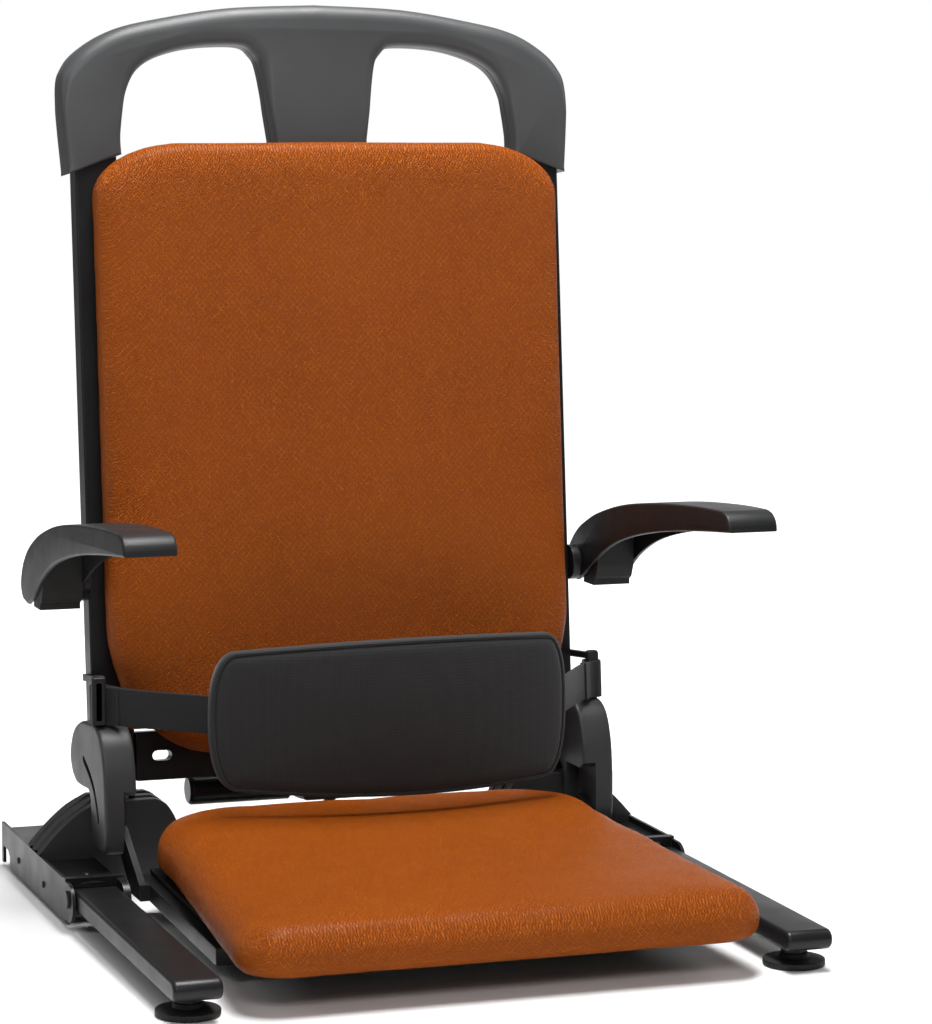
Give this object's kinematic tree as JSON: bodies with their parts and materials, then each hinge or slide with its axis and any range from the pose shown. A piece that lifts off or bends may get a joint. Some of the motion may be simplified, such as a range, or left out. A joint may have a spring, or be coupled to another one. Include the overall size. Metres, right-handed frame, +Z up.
{
  "type": "sit to stand lift",
  "caption": "Folding floor lift chair: a padded seat and backrest rise on two telescoping masts, with flip-up armrests, a waist belt and fold-up front legs.",
  "frame": {"origin": "on the floor, under the middle of the footprint", "axes": "+X across the chair, +Y towards its back, +Z up; the sitter faces -Y"},
  "size_m": [0.563, 0.6076, 0.7808],
  "materials": {
    "leather": "orange-brown grained leather, semi-matt",
    "frame_paint": "black powder coat",
    "moulded_plastic": "fine-textured black moulding",
    "rubber": "black rubber",
    "belt_fabric": "black plain-weave polyester",
    "zinc": "bright zinc-plated steel",
    "handset_plastic": "off-white moulding",
    "button_rubber": "grey-blue silicone"
  },
  "bodies": {
    "base": {"base_rail_left": "frame_paint", "base_rail_right": "frame_paint", "tower_left": "moulded_plastic", "tower_right": "moulded_plastic", "mast_left": "zinc", "mast_right": "zinc", "mast_boot_left": "rubber", "mast_boot_right": "rubber", "leg_pin_left": "zinc", "leg_pin_right": "zinc", "rear_foot_left": "rubber", "rear_foot_right": "rubber", "rear_cross_tube": "frame_paint", "lead_screw": "zinc"},
    "carriage": {"upright_left": "frame_paint", "upright_right": "frame_paint", "hinge_cover_left": "moulded_plastic", "hinge_cover_right": "moulded_plastic", "arm_pivot_left": "frame_paint", "arm_pivot_right": "frame_paint", "belt_post_left": "moulded_plastic", "belt_post_right": "moulded_plastic", "belt_strap_left": "belt_fabric", "belt_strap_right": "belt_fabric", "seat_pin_left": "zinc", "seat_pin_right": "zinc", "handle": "moulded_plastic", "lower_crossbar": "frame_paint", "upper_crossbar": "frame_paint", "back_board": "frame_paint", "backrest_cushion": "leather", "belt_pad": "belt_fabric", "belt_slider": "moulded_plastic", "gearbox": "moulded_plastic", "motor": "frame_paint", "screw_guard_tube": "frame_paint", "control_box": "moulded_plastic", "power_inlet": "moulded_plastic", "handset_holder": "moulded_plastic"},
    "seat": {"seat_cushion": "leather", "seat_board": "frame_paint", "seat_cross_bar": "frame_paint", "seat_rail_left": "frame_paint", "seat_rail_right": "frame_paint"},
    "armrest_left": {"armrest_left": "moulded_plastic", "armrest_hub_left": "moulded_plastic"},
    "leg_left": {"leg_left": "frame_paint"},
    "foot_left": {"foot_left": "rubber"},
    "tail_left": {"tail_left": "frame_paint"},
    "wheel_left": {"wheel_left": "rubber"},
    "armrest_right": {"armrest_right": "moulded_plastic", "armrest_hub_right": "moulded_plastic"},
    "leg_right": {"leg_right": "frame_paint"},
    "foot_right": {"foot_right": "rubber"},
    "tail_right": {"tail_right": "frame_paint"},
    "wheel_right": {"wheel_right": "rubber"},
    "handset": {"handset": "handset_plastic"},
    "button_up": {"button_up": "button_rubber"},
    "button_down": {"button_down": "button_rubber"},
    "power_switch": {"power_switch": "button_rubber"}
  },
  "joints": [
    {"name": "lift", "type": "slide", "parent": "base", "child": "carriage", "axis": [0, 0.1028, 0.9947], "range_m": [0, 0.36]},
    {"name": "seat_fold", "type": "hinge", "parent": "carriage", "child": "seat", "pos_m": [0, 0.11375, 0.062], "axis": [-1, 0, 0], "range_deg": [0, 78], "deforming": ["belt_pad", "belt_strap_left", "belt_strap_right"]},
    {"name": "armrest_flip_left", "type": "hinge", "parent": "carriage", "child": "armrest_left", "pos_m": [-0.2573, 0.1849, 0.27423], "axis": [-1, 0, 0], "range_deg": [0, 84]},
    {"name": "leg_fold_left", "type": "hinge", "parent": "base", "child": "leg_left", "pos_m": [-0.2552, 0.03875, 0.0258], "axis": [-1, 0, 0], "range_deg": [0, 60]},
    {"name": "foot_level_left", "type": "slide", "parent": "leg_left", "child": "foot_left", "axis": [0, 0, -1], "range_m": [0, 0.008]},
    {"name": "tail_slide_left", "type": "slide", "parent": "base", "child": "tail_left", "axis": [0, 1, 0], "range_m": [0, 0.09]},
    {"name": "wheel_spin_left", "type": "hinge", "parent": "tail_left", "child": "wheel_left", "pos_m": [-0.255, 0.28925, 0.0153], "axis": [1, 0, 0], "continuous": true},
    {"name": "armrest_flip_right", "type": "hinge", "parent": "carriage", "child": "armrest_right", "pos_m": [0.2573, 0.1849, 0.27423], "axis": [-1, 0, 0], "range_deg": [0, 84]},
    {"name": "leg_fold_right", "type": "hinge", "parent": "base", "child": "leg_right", "pos_m": [0.2552, 0.03875, 0.0258], "axis": [-1, 0, 0], "range_deg": [0, 60]},
    {"name": "foot_level_right", "type": "slide", "parent": "leg_right", "child": "foot_right", "axis": [0, 0, -1], "range_m": [0, 0.008]},
    {"name": "tail_slide_right", "type": "slide", "parent": "base", "child": "tail_right", "axis": [0, 1, 0], "range_m": [0, 0.09]},
    {"name": "wheel_spin_right", "type": "hinge", "parent": "tail_right", "child": "wheel_right", "pos_m": [0.255, 0.28925, 0.0153], "axis": [1, 0, 0], "continuous": true},
    {"name": "handset_lift", "type": "slide", "parent": "carriage", "child": "handset", "axis": [0, 0.1028, 0.9947], "range_m": [0, 0.06]},
    {"name": "press_up", "type": "slide", "parent": "handset", "child": "button_up", "axis": [0, -0.9947, 0.1028], "range_m": [0, 0.0015], "stiffness_N_per_m": 800},
    {"name": "press_down", "type": "slide", "parent": "handset", "child": "button_down", "axis": [0, -0.9947, 0.1028], "range_m": [0, 0.0015], "stiffness_N_per_m": 800},
    {"name": "switch_rock", "type": "hinge", "parent": "carriage", "child": "power_switch", "pos_m": [0.115, 0.18954, 0.20237], "axis": [0, 0.9947, -0.1028], "range_deg": [0, 8]}
  ]
}
